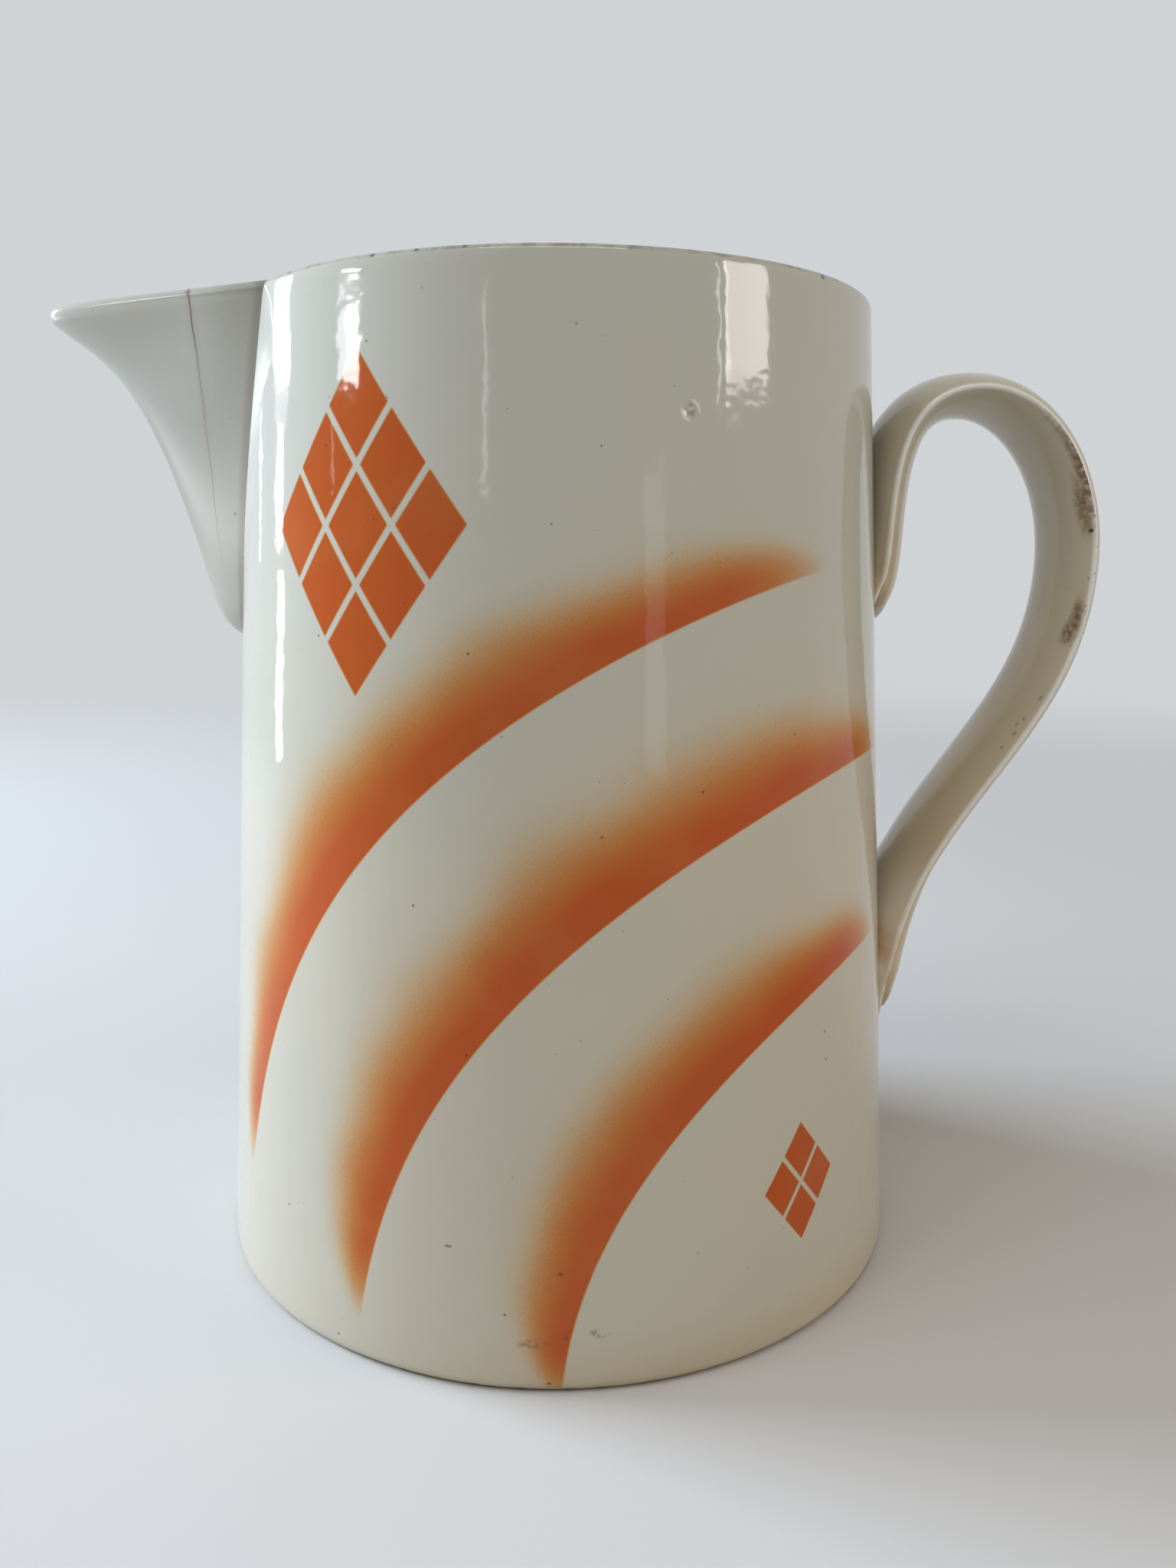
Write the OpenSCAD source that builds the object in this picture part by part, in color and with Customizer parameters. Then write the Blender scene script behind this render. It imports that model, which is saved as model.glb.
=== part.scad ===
// Straight-sided earthenware coffee jug: a tapered wall, its floor, a luted beak spout and a strap handle.
// Millimetres. +Z is up, the origin is on the body's axis at its underside.
// The spout points along -X and the handle along +X.

/* [Body] */
// Outside diameter of the body where it stands
base_d = 156; // [120:1:200]
// Outside diameter of the body at its rim
rim_d = 133; // [110:1:170]
// Height of the body from its underside to the top of the rim
body_h = 206; // [180:1:260]
// Thickness of the body's wall
wall_t = 4.5; // [3:0.1:6]
// Radius of the rounded edges of the rim and of the spout's lip
rim_edge = 1.4; // [0.6:0.1:1.5]
// Radius of the outer edge that the body stands on
foot_round = 2.5; // [1:0.1:4]

/* [Floor] */
// Thickness of the floor that is luted in at the foot
floor_t = 6; // [4:0.5:12]

/* [Spout] */
// How far the spout's tip reaches out beyond the rim
spout_reach = 42.9; // [25:0.1:55]
// Width of the spout where its rim meets the body
spout_w = 68; // [50:1:80]
// Depth of the spout, from the rim down to its lowest point on the wall
spout_depth = 69.5; // [55:0.5:90]
// Height of the rounded belly at the spout's lowest end
spout_belly_h = 9; // [6:0.5:14]
// How far the belly stands off the wall
spout_belly_out = 8; // [6:0.5:12]
// Drop from the rim to the spout's tip, under its lip
spout_tip_drop = 2.5; // [2:0.1:8]
// Angle of the keel below the level at the tip
spout_tip_dip = 41; // [20:1:50]
// Angle of the keel from upright just above the belly
spout_keel_lean = 13.6; // [5:0.1:25]
// Radius of the rounded keel in plan
spout_keel_round = 4; // [2:0.5:6]
// Thickness of the spout's two side walls
spout_wall_t = 4.5; // [3:0.1:6]
// Thickness of the spout along its keel
spout_keel_t = 6; // [4:0.1:7]

/* [Handle] */
// Width of the strap, across the grip
handle_w = 29.5; // [20:0.5:40]
// Thickness of the strap at the middle of its width
handle_t = 9.7; // [6:0.1:12]
// How far the strap's middle stands off the wall at its widest
handle_reach = 47.2; // [38:0.1:60]
// Drop from the rim to the strap's widest point
handle_reach_drop = 51.7; // [45:0.1:65]
// Drop from the rim to the top of the strap's middle line
handle_crest_drop = 15.9; // [8:0.1:22]
// How far the top of the strap stands off the wall at its upper root
handle_crest_out = 20.7; // [15:0.1:28]
// Drop from the rim to the middle of the upper root
upper_root_drop = 57.4; // [50:0.2:75]
// Height of the middle of the lower root above the underside
lower_root_h = 60.8; // [45:0.2:80]
// Angle of the strap from upright where it leaves the wall at the upper root
upper_root_lean = 23; // [14:0.5:32]
// Angle of the strap from upright where it joins the wall at the lower root
lower_root_lean = 12; // [9:0.5:22]
// How much wider the strap spreads at each root
root_spread = 5; // [0:0.5:10]

/* [Hidden] */
$fn = 120;

glaze_cream = [0.90, 0.89, 0.82];
glaze_shade = [0.84, 0.83, 0.76];
glaze_grey = [0.80, 0.79, 0.73];

past = 1;                       // how far a cutter runs past what it cuts

function wall_r(z) = (base_d + (rim_d - base_d) * z / body_h) / 2;
function bore_r(z) = wall_r(z) - wall_t;
function off_axis(r, half) = sqrt(r * r - half * half);
function polar(len, angle) = len * [sin(angle), cos(angle)];      // angle is from upright
function bezier(p, t) =
    pow(1 - t, 3) * p[0] + 3 * pow(1 - t, 2) * t * p[1]
    + 3 * (1 - t) * t * t * p[2] + pow(t, 3) * p[3];
function bezier_way(p, t) =
    pow(1 - t, 2) * (p[1] - p[0]) + 2 * (1 - t) * t * (p[2] - p[1]) + t * t * (p[3] - p[2]);

// A closed skin over a list of rings that all have the same number of points
module loft(rings) {
    n = len(rings[0]);
    last = len(rings) - 1;
    sides = [
        for (i = [0:last - 1], j = [0:n - 1])
            let (k = (j + 1) % n)
            each [
                [i * n + j, i * n + k, (i + 1) * n + k],
                [i * n + j, (i + 1) * n + k, (i + 1) * n + j]
            ]
    ];
    first_cap = [for (j = [n - 1:-1:0]) j];
    last_cap = [for (j = [0:n - 1]) last * n + j];
    polyhedron([for (ring = rings) each ring], concat(sides, [first_cap, last_cap]));
}

// Everything inside the body's outer face
module wall_envelope() {
    cylinder(h = body_h + past, r1 = wall_r(0), r2 = wall_r(body_h + past));
}

// ---- Spout: stacked level sections, each a V with a rounded keel ----
spout_foot_z = body_h - spout_depth;
spout_tip_z = body_h - spout_tip_drop;
spout_tip_r = rim_d / 2 + spout_reach;
belly_z = spout_foot_z + spout_belly_h;
tip_pull = 0.306 * spout_reach;                    // lengths of the keel's Bezier handles
neck_pull = 0.9 * (spout_tip_z - belly_z);
belly_pull = 0.45 * spout_belly_h;
channel_low_z = belly_z + spout_wall_t / 2;        // lowest level section of the channel
channel_foot_z = channel_low_z - spout_belly_out + spout_keel_t;      // where it runs out on the wall
section_over = 1.2;                                // a section runs this far past the wall's face
section_steps = 9;
keel_steps = 14;
belly_steps = 6;
lip_steps = 4;
sunk_in = 2 * spout_wall_t;                        // how far each end section is buried in the wall

// Keel lines as [distance from the axis, height] pairs: the round belly, then the neck up to the tip
belly_top = [wall_r(belly_z) + spout_belly_out, belly_z];
function belly_line() =
    let (
        foot = [wall_r(spout_foot_z), spout_foot_z],
        span = [foot, foot + polar(belly_pull, 75), belly_top - polar(belly_pull, spout_keel_lean), belly_top]
    )
    [for (i = [1:belly_steps - 1]) bezier(span, i / belly_steps)];
function neck_line(low_z, inset) =
    let (
        low = [belly_top[0] - inset, low_z],
        tip = [spout_tip_r - inset, spout_tip_z],
        span = [low, low + polar(neck_pull, spout_keel_lean), tip - polar(tip_pull, 90 - spout_tip_dip), tip]
    )
    [for (i = [0:keel_steps]) bezier(span, i / keel_steps)];

// A section moved down and back into the wall, to end a loft out of sight
function sunk(ring, down) = [for (p = ring) p + [sunk_in, 0, -down]];

// Half the width of the spout on the wall's face at height z
function seam_half(z, foot_z, top_half) =
    top_half * sqrt((z - foot_z) / (body_h - foot_z));

// One level section: a hyperbola across the keel, closed behind the wall's face
function spout_section(z, keel, half) =
    let (
        face = off_axis(wall_r(min(z, body_h)), half),
        deep = keel - face,
        bend = min(spout_keel_round, 0.35 * half * half / deep),
        slope = deep / sqrt(half * half - 2 * deep * bend),
        a = bend * slope * slope,
        back = face - section_over * deep / 2 - 2 * wall_t
    )
    concat(
        [[-back, -section_over * half, z]],
        [for (j = [-section_steps:section_steps])
            let (u = j / section_steps, y = section_over * half * sign(u) * pow(abs(u), 1.3))
            [-(keel - sqrt(a * a + pow(slope * y, 2)) + a), y, z]],
        [[-back, section_over * half, z]]
    );

module spout_outside() {
    top_half = spout_w / 2;
    line = concat(belly_line(), neck_line(belly_z, 0));
    sections = [for (p = line) spout_section(p[1], p[0], seam_half(p[1], spout_foot_z, top_half))];
    loft(concat(
        [sunk(sections[0], sunk_in / 4)],
        sections,
        [for (i = [0:lip_steps])
            let (a = 90 * i / lip_steps, inset = rim_edge * (1 - cos(a)))
            spout_section(body_h - rim_edge * (1 - sin(a)), spout_tip_r - inset, top_half - inset)]
    ));
}

channel_half = spout_w / 2 - 1.25 * spout_wall_t;  // half width of the channel at the rim

module spout_channel() {
    tip = spout_tip_r - spout_keel_t;
    line = neck_line(channel_low_z, spout_keel_t);
    sections = [for (p = line) spout_section(p[1], p[0], seam_half(p[1], channel_foot_z, channel_half))];
    loft(concat(
        [sunk(sections[0], sunk_in)],
        sections,
        [for (i = [0:lip_steps])
            let (a = 90 * i / lip_steps, flare = rim_edge * (1 - cos(a)))
            spout_section(body_h - rim_edge * (1 - sin(a)), tip + flare, channel_half + flare)],
        [spout_section(body_h + past, tip + rim_edge, channel_half + rim_edge)]
    ));
}

// The opening cut through the wall behind the spout, as wide as its channel
module spout_notch() {
    steps = 16;
    open_h = body_h - channel_foot_z;
    side = [for (i = [0:steps])
        let (u = i / steps) [channel_half * u, channel_foot_z + open_h * u * u]];
    outline = concat(
        [for (i = [steps:-1:1]) [-side[i][0], side[i][1]]],
        side,
        [[channel_half, body_h + past], [-channel_half, body_h + past]]
    );
    near = off_axis(bore_r(body_h), channel_half) - 2 * wall_t;
    far = wall_r(0) + past;
    translate([-near, 0, 0]) rotate([90, 0, -90])
        linear_extrude(height = far - near) polygon(outline);
}

// ---- Handle: one strap section swept along three Bezier spans in the plane Y = 0 ----
upper_root_z = body_h - upper_root_drop;
reach_z = body_h - handle_reach_drop;
crest_z = body_h - handle_crest_drop;
upper_root = [wall_r(upper_root_z), upper_root_z];
lower_root = [wall_r(lower_root_h), lower_root_h];
crest = [wall_r(upper_root_z) + handle_crest_out, crest_z];
widest = [wall_r(reach_z) + handle_reach, reach_z];
quarter = 0.5523;                                  // Bezier handle of a quarter ellipse
upper_span = [upper_root,
              upper_root + polar(0.244 * (crest_z - upper_root_z), upper_root_lean),
              crest - [1.116 * handle_crest_out, 0], crest];
crest_span = [crest, crest + [quarter * (widest[0] - crest[0]), 0],
              widest + [0, quarter * (crest_z - reach_z)], widest];
lower_span = [widest, widest - [0, 0.419 * (reach_z - lower_root_h)],
              lower_root + polar(0.461 * (reach_z - lower_root_h), lower_root_lean), lower_root];
root_tail = 3.2 * handle_t;                        // how far each end runs on behind the wall's face
edge_point = 1.15;                                 // above 1, the strap's two edges draw to a ridge
section_points = 28;
spread_share = 0.35;                               // share of a span over which a root widens

// The strap's section round a point of its middle line, square to the way it runs
function strap_ring(p, way, half_w) =
    let (out = [-way[1], way[0]] / norm(way))
    [for (j = [0:section_points - 1])
        let (
            a = 360 * j / section_points,
            thick = handle_t / 2 * sign(sin(a)) * pow(abs(sin(a)), edge_point)
        )
        [p[0] + thick * out[0], half_w * cos(a), p[1] + thick * out[1]]];

// Half width of the strap at a share of the way from a root
function strap_half(from_root) =
    handle_w / 2 + root_spread / 2 * pow(max(0, 1 - from_root / spread_share), 2);

function span_rings(span, steps, first, root_at_start, root_at_end) =
    [for (i = [first:steps])
        let (t = i / steps)
        strap_ring(
            bezier(span, t), bezier_way(span, t),
            strap_half(root_at_start ? t : root_at_end ? 1 - t : 1)
        )];

module handle_strap() {
    rise = polar(1, upper_root_lean);
    fall = -polar(1, lower_root_lean);
    loft(concat(
        [strap_ring(upper_root - root_tail * rise, rise, strap_half(0))],
        span_rings(upper_span, 13, 0, true, false),
        span_rings(crest_span, 12, 1, false, false),
        span_rings(lower_span, 18, 1, false, true),
        [strap_ring(lower_root + root_tail * fall, fall, strap_half(0))]
    ));
}

// ---- Pieces ----
module body_wall() {
    edge_z = body_h - rim_edge;
    outer_mid_r = wall_r(edge_z) - rim_edge;
    inner_mid_r = bore_r(edge_z) + rim_edge;
    foot_mid_r = wall_r(foot_round) - foot_round;
    color(glaze_cream) difference() {
        rotate_extrude() union() {
            polygon([
                [foot_mid_r, 0], [foot_mid_r, foot_round], [wall_r(foot_round), foot_round],
                [wall_r(edge_z), edge_z], [outer_mid_r, edge_z], [outer_mid_r, body_h],
                [inner_mid_r, body_h], [inner_mid_r, edge_z], [bore_r(edge_z), edge_z], [bore_r(0), 0]
            ]);
            translate([foot_mid_r, foot_round]) circle(r = foot_round);
            translate([outer_mid_r, edge_z]) circle(r = rim_edge);
            translate([inner_mid_r, edge_z]) circle(r = rim_edge);
        }
        spout_notch();
    }
}

module base_disc() {
    color(glaze_grey) cylinder(h = floor_t, r1 = bore_r(0), r2 = bore_r(floor_t));
}

module spout() {
    color(glaze_shade) difference() {
        spout_outside();
        spout_channel();
        wall_envelope();
    }
}

module handle() {
    color(glaze_shade) difference() {
        handle_strap();
        wall_envelope();
    }
}

body_wall();
base_disc();
spout();
handle();
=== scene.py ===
import math
import bpy
from mathutils import Matrix, Vector


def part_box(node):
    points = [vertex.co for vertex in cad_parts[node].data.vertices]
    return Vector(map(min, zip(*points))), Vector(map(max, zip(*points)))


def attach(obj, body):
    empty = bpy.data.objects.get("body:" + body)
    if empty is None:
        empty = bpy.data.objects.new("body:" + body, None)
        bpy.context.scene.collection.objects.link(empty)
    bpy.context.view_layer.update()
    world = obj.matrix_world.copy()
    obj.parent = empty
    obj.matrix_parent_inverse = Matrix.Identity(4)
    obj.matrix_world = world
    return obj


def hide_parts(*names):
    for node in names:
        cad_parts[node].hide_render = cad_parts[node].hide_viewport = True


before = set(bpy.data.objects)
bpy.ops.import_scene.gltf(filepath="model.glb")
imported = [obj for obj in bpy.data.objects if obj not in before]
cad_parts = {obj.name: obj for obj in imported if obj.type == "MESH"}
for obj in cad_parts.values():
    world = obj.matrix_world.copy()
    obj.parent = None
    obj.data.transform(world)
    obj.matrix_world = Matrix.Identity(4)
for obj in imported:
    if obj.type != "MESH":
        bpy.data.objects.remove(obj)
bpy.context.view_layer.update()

scene = bpy.context.scene
scene.view_settings.view_transform = "Standard"
mm = 0.001


# Node building, for materials and for geometry

def link(tree, value, slot):
    if value is None:
        return
    if isinstance(value, Wire):
        tree.links.new(value.socket, slot)
    else:
        slot.default_value = value


class Wire:
    # a node's output on which sums can be written; each operation adds one Math node
    def __init__(self, tree, socket):
        self.tree = tree
        self.socket = socket

    def math(self, operation, *others, clamp=False):
        node = self.tree.nodes.new("ShaderNodeMath")
        node.operation = operation
        node.use_clamp = clamp
        for slot, value in zip(node.inputs, (self, *others)):
            link(self.tree, value, slot)
        return Wire(self.tree, node.outputs[0])

    def other(self, name):
        # another output of the same node
        return Wire(self.tree, self.socket.node.outputs[name])

    def swapped(self, operation, first):
        node = self.tree.nodes.new("ShaderNodeMath")
        node.operation = operation
        link(self.tree, first, node.inputs[0])
        link(self.tree, self, node.inputs[1])
        return Wire(self.tree, node.outputs[0])

    def __add__(self, value):
        return self.math("ADD", value)

    def __radd__(self, value):
        return self.math("ADD", value)

    def __sub__(self, value):
        return self.math("SUBTRACT", value)

    def __rsub__(self, value):
        return self.swapped("SUBTRACT", value)

    def __mul__(self, value):
        return self.math("MULTIPLY", value)

    def __rmul__(self, value):
        return self.math("MULTIPLY", value)

    def __truediv__(self, value):
        return self.math("DIVIDE", value)

    def __rtruediv__(self, value):
        return self.swapped("DIVIDE", value)

    def __pow__(self, value):
        return self.math("POWER", value)

    def __neg__(self):
        return self.math("MULTIPLY", -1.0)

    def __gt__(self, value):
        return self.math("GREATER_THAN", value)

    def __lt__(self, value):
        return self.math("LESS_THAN", value)

    def __abs__(self):
        return self.math("ABSOLUTE")

    def sin(self):
        return self.math("SINE")

    def cos(self):
        return self.math("COSINE")

    def root(self):
        return self.math("SQRT")

    def sign(self):
        return self.math("SIGN")

    def most(self, value):
        return self.math("MAXIMUM", value)

    def share(self, low, high):
        # how far the value is from low to high, held between 0 and 1
        return ((self - low) / (high - low)).math("ADD", 0.0, clamp=True)

    def smooth(self, low, high):
        t = self.share(low, high)
        return t * t * (3.0 - 2.0 * t)


class Board:
    # the one place where any other node is made
    def __init__(self, tree):
        self.tree = tree

    def make(self, kind, settings=None, inputs=None, output=0):
        node = self.tree.nodes.new(kind)
        for name, value in (settings or {}).items():
            if name == "stops":
                ramp = node.color_ramp
                while len(ramp.elements) < len(value):
                    ramp.elements.new(0.5)
                for element, (place, colour) in zip(ramp.elements, value):
                    element.position = place
                    element.color = colour
            else:
                setattr(node, name, value)
        for name, value in (inputs or {}).items():
            link(self.tree, value, node.inputs[name])
        return Wire(self.tree, node.outputs[output]) if node.outputs else node

    def mix(self, factor, first, second, blend="MIX"):
        return self.make(
            "ShaderNodeMix", {"data_type": "RGBA", "blend_type": blend},
            {0: factor, 6: first, 7: second}, 2)

    def times(self, first, second):
        # one colour multiplied by another
        return self.mix(1.0, first, second, "MULTIPLY")

    def noise(self, vector, size, detail=2.0):
        return self.make("ShaderNodeTexNoise", {}, {
            "Vector": vector, "Scale": 1.0 / size, "Detail": detail})

    def stretched(self, vector, by):
        return self.make("ShaderNodeVectorMath", {"operation": "MULTIPLY"}, {0: vector, 1: by})


def linear(red, green, blue):
    # a colour given as it looks on a screen, 0 to 255, as the renderer's own numbers
    def channel(value):
        v = value / 255.0
        return v / 12.92 if v <= 0.04045 else ((v + 0.055) / 1.055) ** 2.4
    return (channel(red), channel(green), channel(blue), 1.0)


# The wall's sizes, in metres; every other piece is fitted to them

body = {
    "baseRadius": 78 * mm,
    "rimRadius": 66.5 * mm,
    "height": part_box("body_wall")[1][2],
    "wall": 4.5 * mm,
    "lipEdge": 1.4 * mm,         # rounding of the rim's edges and of the spout's lip
    "footRound": 2.5 * mm,
    "columns": 361,
    "rows": 190,
    "swell": 0.18 * mm,          # how far the hand-turned face wanders from a true cone
    "swellSize": 48 * mm,
    "notchLow": 145.75 * mm,     # where the channel behind the spout runs out on the wall
    "notchHalf": 28.4 * mm,      # half the notch's width at the rim
    "notchCorner": 5 * mm,
    "notchCrowd": 0.55,          # how far the columns crowd towards the notch
}


def wallRadius(z):
    return body["baseRadius"] + (body["rimRadius"] - body["baseRadius"]) * z / body["height"]


def boreRadius(z):
    return wallRadius(z) - body["wall"]


def polar(length, degrees):
    # along the distance from the axis and up, with the angle from upright
    return Vector((math.sin(math.radians(degrees)), math.cos(math.radians(degrees)))) * length


def bezier(span, t):
    a, b, c, d = span
    return a * (1 - t) ** 3 + b * 3 * (1 - t) ** 2 * t + c * 3 * (1 - t) * t * t + d * t ** 3


# Camera

camera = {
    "focalPixels": 1590,         # in a picture 2048 pixels high
    "pictureHeight": 2048,
    "sensor": 36.0,
    "distance": 281 * mm,
    "height": 155.3 * mm,
    "pitch": 0.1877,
    "yaw": 0.0228,
    "roll": 0.0034,
    "round": -0.026,             # how far the camera stands round the body, towards the spout
}


def addCamera():
    data = bpy.data.cameras.new("frontView")
    data.sensor_width = camera["sensor"]
    data.lens = camera["focalPixels"] / camera["pictureHeight"] * camera["sensor"]
    data.clip_start = 0.01
    pitch, yaw, roll = camera["pitch"], camera["yaw"], camera["roll"]
    ahead = Vector((math.sin(yaw) * math.cos(pitch), math.cos(yaw) * math.cos(pitch), -math.sin(pitch)))
    right = Vector((math.cos(yaw), -math.sin(yaw), 0))
    up = right.cross(ahead)
    tilted = right * math.cos(roll) + up * math.sin(roll)
    upright = up * math.cos(roll) - right * math.sin(roll)
    turn = Matrix.Rotation(camera["round"], 4, "Z")
    pose = Matrix((tilted, upright, -ahead)).transposed().to_4x4()
    pose.translation = Vector((0, -camera["distance"], camera["height"]))
    eye = bpy.data.objects.new("frontView", data)
    eye.matrix_world = turn @ pose
    scene.collection.objects.link(eye)
    scene.camera = eye


addCamera()
print("camera placed")


# Materials

glaze = {
    "cream": linear(198, 189, 170),
    "thick": linear(188, 186, 169),       # where the glaze lies thick it greys
    "high": linear(184, 185, 176),        # painted shade: towards the rim it is made greyer and darker
    "warm": linear(198, 182, 154),
    "paintedLightTone": linear(236, 233, 224),        # painted light: a pale tone for lit faces and highlights
    "clay": linear(182, 164, 134),
    "dirt": linear(84, 64, 46),
    "brown": linear(118, 78, 42),
    "speck": linear(58, 46, 36),
    "coffee": linear(126, 99, 68),        # stains that soak into the crazed glaze
    "crack": linear(112, 92, 84),
    "tanned": (0.93, 0.80, 0.62, 1.0),    # these five multiply the glaze's own colour
    # partly painted shade, round the strap's ends where it meets the wall
    "soakedAndShaded": (0.90, 0.66, 0.40, 1.0),
    "rusty": (0.80, 0.50, 0.26, 1.0),
    # the next two are painted shade on the spout: low down, and where it joins the wall
    "shaded": (0.72, 0.71, 0.70, 1.0),
    "paintedJunctionShade": (0.69, 0.67, 0.64, 1.0),
    "bareRoughness": 0.6,                 # added where the clay is bare
    "cloudSize": 62 * mm,
    "streakSize": 9 * mm,
    "roughness": 0.06,
    "ripple": 0.032 * mm,
    "rippleSize": 3.0 * mm,
    "shine": 0.35,                        # the Principled shader's specular level
    "sag": 0.16 * mm,
    "sagSize": 15 * mm,
}
# what the sprayed rust pigment lets through of the light, from bare glaze to full cover
pigment = [
    (0.0, (1.0, 1.0, 1.0, 1.0)),
    (0.15, (0.985, 0.78, 0.57, 1.0)),
    (0.35, (0.965, 0.53, 0.25, 1.0)),
    (0.6, (0.935, 0.34, 0.080, 1.0)),
    (1.0, (0.885, 0.152, 0.006, 1.0)),
]


def newMaterial(name):
    material = bpy.data.materials.new(name)
    material.use_nodes = True
    tree = material.node_tree
    tree.nodes.clear()
    return material, Board(tree)


def surface(board, colour, roughness, height, lift):
    bump = board.make("ShaderNodeBump", {}, {"Strength": 1.0, "Distance": lift, "Height": height})
    shader = board.make("ShaderNodeBsdfPrincipled", {}, {
        "Base Color": colour, "Roughness": roughness, "IOR": 1.5,
        "Specular IOR Level": glaze["shine"], "Normal": bump})
    board.make("ShaderNodeOutputMaterial", {}, {"Surface": shader})


def place(board):
    # the point on the piece, in millimetres
    vector = board.make("ShaderNodeTexCoord", {}, {}, "Object")
    scaled = board.make("ShaderNodeVectorMath", {"operation": "SCALE"}, {0: vector, "Scale": 1000.0})
    apart = board.make("ShaderNodeSeparateXYZ", {}, {0: scaled}, "X")
    return scaled, apart, apart.other("Y"), apart.other("Z")


def glazeRipple(board, point):
    fine = board.noise(point, glaze["rippleSize"] / mm, 1.0)
    broad = board.noise(point, glaze["sagSize"] / mm, 1.0)
    return fine * (glaze["ripple"] / glaze["sag"]) + broad


def specks(board, point, size, radius, keep):
    # round dots of one radius, in a random share of the cells
    cell = board.make("ShaderNodeTexVoronoi", {}, {"Vector": point, "Scale": 1.0 / size}, "Distance")
    chance = board.make("ShaderNodeSeparateColor", {}, {0: cell.other("Color")}, 0)
    return (cell * size).smooth(radius * 1.15, radius * 0.75) * (chance < keep)


def arcBand(board, s, h, arc, waver):
    # the pigment's density, sprayed over a round mask: a hard inner edge, a soft outer one
    dx = s - arc["s"]
    dy = h - arc["h"]
    beyond = (dx * dx + dy * dy).root() - arc["radius"]
    angle = dy.math("ARCTAN2", dx)
    along = angle.share(math.radians(arc["from"]), math.radians(arc["to"]))
    swell = (along * math.pi).sin().most(0.0) ** 0.6
    width = waver * (swell * arc["width"]) + 0.05
    hard = beyond.smooth(-0.25, 0.3)
    across = beyond / width
    fade = (((across - 0.12).most(0.0) / 0.42) ** 2.0 * -1.0).math("EXPONENT")
    return hard * fade * along.smooth(0.0, 0.10) * (1.0 - along).smooth(0.0, 0.16)


# The decoration: round sprayed bands and stencilled lozenges, on the wall rolled out flat.
# s runs round the wall and h up it, in millimetres; s is 0 midway between spout and handle.

bands = [
    {"s": 80, "h": -6, "radius": 82, "from": 178, "to": 88, "width": 24},
    {"s": 80, "h": -6, "radius": 121, "from": 174, "to": 84, "width": 26},
    {"s": 80, "h": -6, "radius": 160, "from": 169, "to": 97, "width": 25},
]
lozenges = [
    {"s": -42, "h": 160, "across": 3, "width": 16.0, "height": 21.0, "gap": 0.11},
    {"s": 47, "h": 33, "across": 2, "width": 10.0, "height": 13.0, "gap": 0.12},
]


def rolledOut(x, y, z):
    # the decoration's s and h at a point of the wall
    meanRadius = (body["baseRadius"] + body["rimRadius"]) / 2 / mm
    side = -y.sign()
    return (x * side).math("ARCTAN2", abs(y)) * meanRadius, z


def lozengeGroup(s, h, group):
    # a large lozenge cut into smaller ones by a diagonal grid
    dx = (s - group["s"]) / group["width"]
    dy = (h - group["h"]) / group["height"]
    half = group["across"] / 2
    soft = 0.022
    mark = None
    for run in (dx + dy, dx - dy):
        cell = abs((run + half).math("FRACT") - 0.5)
        clear = cell.smooth(0.5 - group["gap"] / 2 + soft, 0.5 - group["gap"] / 2 - soft)
        inside = abs(run) < half
        mark = clear * inside if mark is None else mark * clear * inside
    return mark


# Small marks on the wall, placed by s and h, with their half width and half height
pit = {"s": 22.4, "h": 179.4, "across": 2.0, "high": 1.9, "deep": 0.17}
dots = [
    (-39.8, 191.3, 0.28, 0.25), (-50.1, 174.2, 0.25, 0.25), (-33.3, 162.9, 0.30, 0.25),
    (-49.1, 182.4, 0.20, 0.20), (-35.0, 181.6, 0.25, 0.20), (-37.8, 161.0, 0.22, 0.22),
    (-31.1, 146.6, 0.22, 0.20), (1.0, 192.9, 0.22, 0.22), (5.5, 173.1, 0.25, 0.22),
    (5.4, 105.9, 0.30, 0.26), (-3.5, 160.1, 0.20, 0.20), (-12.4, 123.6, 0.20, 0.18),
    (-11.8, 15.7, 0.30, 0.30), (-4.0, 2.3, 0.45, 0.30), (-22.1, 28.1, 0.75, 0.28),
    (-2.0, 24.1, 0.5, 0.4), (45.4, 0.9, 0.6, 0.5), (57.9, 1.2, 0.4, 0.4),
    (-38.6, 205.4, 0.55, 0.35), (-29.1, 205.5, 0.45, 0.30), (-19.5, 205.5, 0.55, 0.30),
    (56.6, 205.0, 0.70, 0.45),
]
scuffs = [(-7.2, 10.2, 3.2, 0.9), (-0.7, 11.8, 1.6, 1.1), (4.4, 12.0, 2.2, 1.0)]


def creamColour(board, point, z):
    # thick and thin glaze, from broad soft noise, with faint runs down the wall
    cloud = board.noise(point, glaze["cloudSize"] / mm, 2.0)
    colour = board.mix(cloud.smooth(0.35, 0.75) * 0.45, glaze["cream"], glaze["thick"])
    # painted shade: greyer and darker towards the top
    colour = board.mix(z.smooth(80, 195) * 0.6, colour, glaze["high"])
    streak = board.noise(board.stretched(point, (1.0, 1.0, 0.12)), glaze["streakSize"] / mm, 1.0)
    return board.mix(streak.smooth(0.55, 0.8) * 0.2, colour, glaze["warm"])


def oval(s, h, at):
    # 0 at the middle of an oval and 1 at its edge
    dx = (s - at[0]) / at[2]
    dy = (h - at[1]) / at[3]
    return (dx * dx + dy * dy).root()


def pinholes(board, point, colour):
    large = specks(board, point, 10.0, 0.28, 0.45)
    fine = specks(board, point, 4.2, 0.16, 0.45)
    return board.mix((large * 0.7).most(fine * 0.5), colour, glaze["speck"])


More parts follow.
